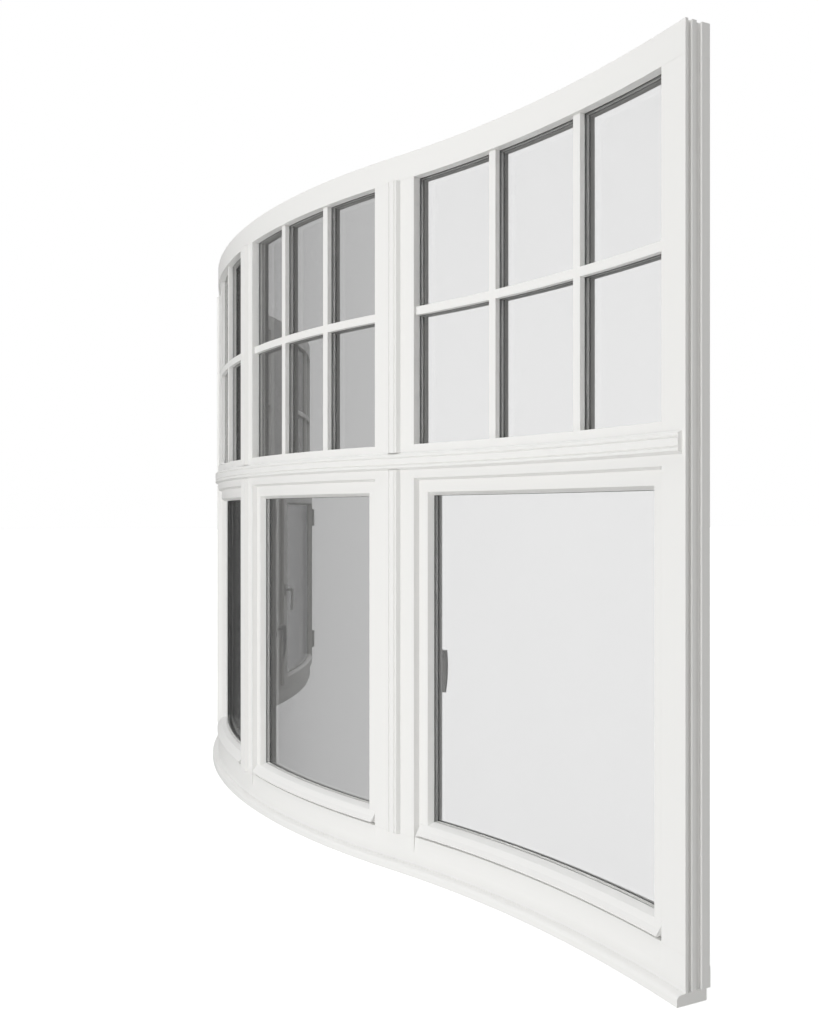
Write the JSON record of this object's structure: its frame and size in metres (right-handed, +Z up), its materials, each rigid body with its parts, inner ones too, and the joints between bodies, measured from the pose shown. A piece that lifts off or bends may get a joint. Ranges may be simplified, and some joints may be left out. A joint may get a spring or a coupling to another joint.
{
  "type": "curved bay window",
  "caption": "Curved timber bay window on an S-shaped plan: barred fixed lights over inward-opening casements, with a moulded transom and a projecting sill.",
  "frame": {"origin": "underside of the sill, in the middle of the middle light and of the frame's thickness", "axes": "+X along the window to the right as seen from outside, -Y towards outside, +Z up"},
  "size_m": [4.3046, 0.7967, 1.99],
  "materials": {
    "painted_wood": "satin white paint",
    "glass": "clear float glass",
    "handle_metal": "satin",
    "hinge_metal": "satin light grey"
  },
  "bodies": {
    "root": {"head": "painted_wood", "sill": "painted_wood", "end_jamb_left": "painted_wood", "end_jamb_right": "painted_wood", "transom_moulding": "painted_wood", "mullion_1": "painted_wood", "mullion_2": "painted_wood", "mullion_3": "painted_wood", "mullion_4": "painted_wood", "mullion_strips_1": "painted_wood", "mullion_strips_2": "painted_wood", "mullion_strips_3": "painted_wood", "mullion_strips_4": "painted_wood", "transom_1": "painted_wood", "glazing_bars_1": "painted_wood", "sash_1": "painted_wood", "upper_glass_1": "glass", "sash_glass_1": "glass", "handle_1": "handle_metal", "hinges_1": "hinge_metal", "transom_2": "painted_wood", "glazing_bars_2": "painted_wood", "sash_2": "painted_wood", "upper_glass_2": "glass", "sash_glass_2": "glass", "handle_2": "handle_metal", "hinges_2": "hinge_metal", "transom_3": "painted_wood", "glazing_bars_3": "painted_wood", "sash_3": "painted_wood", "upper_glass_3": "glass", "sash_glass_3": "glass", "handle_3": "handle_metal", "hinges_3": "hinge_metal", "transom_4": "painted_wood", "glazing_bars_4": "painted_wood", "sash_4": "painted_wood", "upper_glass_4": "glass", "sash_glass_4": "glass", "handle_4": "handle_metal", "hinges_4": "hinge_metal", "transom_5": "painted_wood", "glazing_bars_5": "painted_wood", "sash_5": "painted_wood", "upper_glass_5": "glass", "sash_glass_5": "glass", "handle_5": "handle_metal", "hinges_5": "hinge_metal"}
  },
  "joints": []
}
